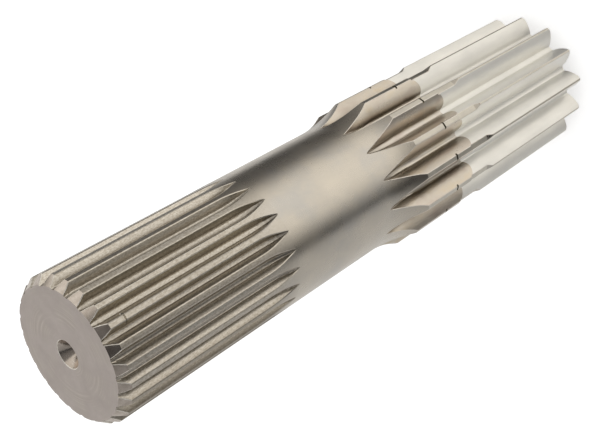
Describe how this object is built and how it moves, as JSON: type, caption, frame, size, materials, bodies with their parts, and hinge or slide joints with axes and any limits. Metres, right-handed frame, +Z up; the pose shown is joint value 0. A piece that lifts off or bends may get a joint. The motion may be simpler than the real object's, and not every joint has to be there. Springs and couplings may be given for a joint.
{
  "type": "splined shaft",
  "caption": "Solid steel drive shaft with an involute spline at one end and long straight sun-gear teeth at the other, joined by a plain cylindrical shank.",
  "frame": {"origin": "The middle of the flat end face at the gear end, which the shaft stands on. It is on the shaft's axis and is the bottom centre of the bounding box.", "axes": "+Z runs up the shaft's axis from the gear end to the spline end. One gear tooth and one spline tooth both stand on +X. +Y completes the right-handed frame."},
  "size_m": [0.0594, 0.0582, 0.2565],
  "materials": {
    "gear_steel": "turned shank and end faces, hobbed spline and tooth run-outs with a faint bronze heat tint, ground working flanks, light oil film"
  },
  "bodies": {
    "root": {"splined_shaft": "gear_steel"}
  },
  "joints": []
}
